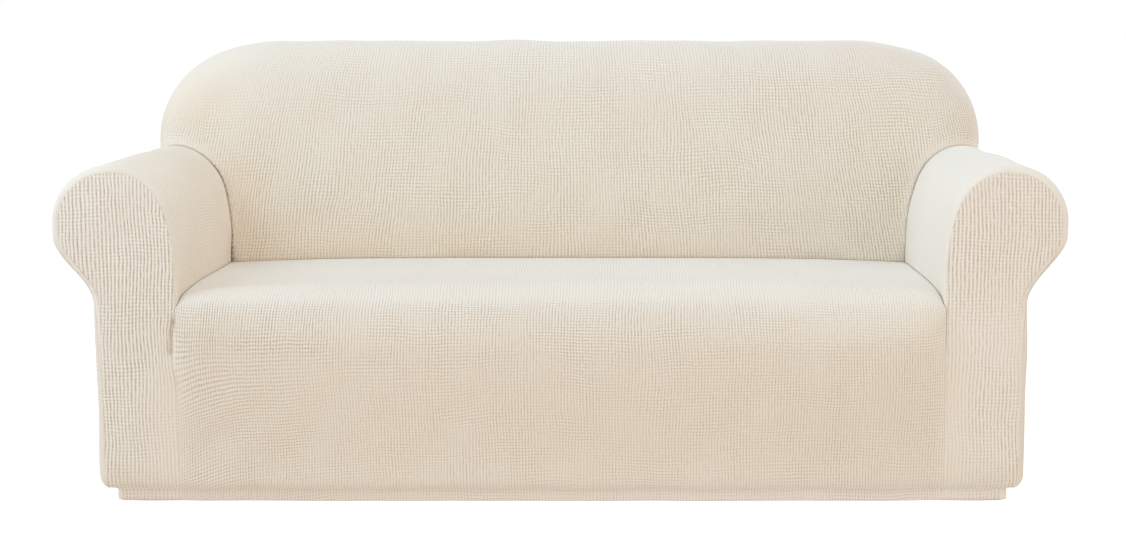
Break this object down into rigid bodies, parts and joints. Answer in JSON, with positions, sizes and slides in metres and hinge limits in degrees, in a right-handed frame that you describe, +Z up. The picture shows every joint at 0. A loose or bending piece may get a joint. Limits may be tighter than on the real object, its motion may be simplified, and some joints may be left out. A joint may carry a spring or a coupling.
{
  "type": "sofa slipcover",
  "caption": "Fitted stretch slipcover in checked cream knit for a three-seat sofa with rolled arms and a round-cornered back, hollow underneath, with a turned-in elastic hem.",
  "frame": {"origin": "on the level of the hem's lower edge, under the middle of the cover", "axes": "+X to the right of someone who faces the cover's front, +Y from front to back, +Z up"},
  "size_m": [1.986, 0.916, 0.899],
  "materials": {
    "knit": "matte cream stretch knit with small raised checks"
  },
  "bodies": {
    "root": {"seat_front": "knit", "inside_back": "knit", "outside_back": "knit", "arm_left": "knit", "arm_right": "knit", "arm_front_left": "knit", "arm_front_right": "knit"}
  },
  "joints": []
}
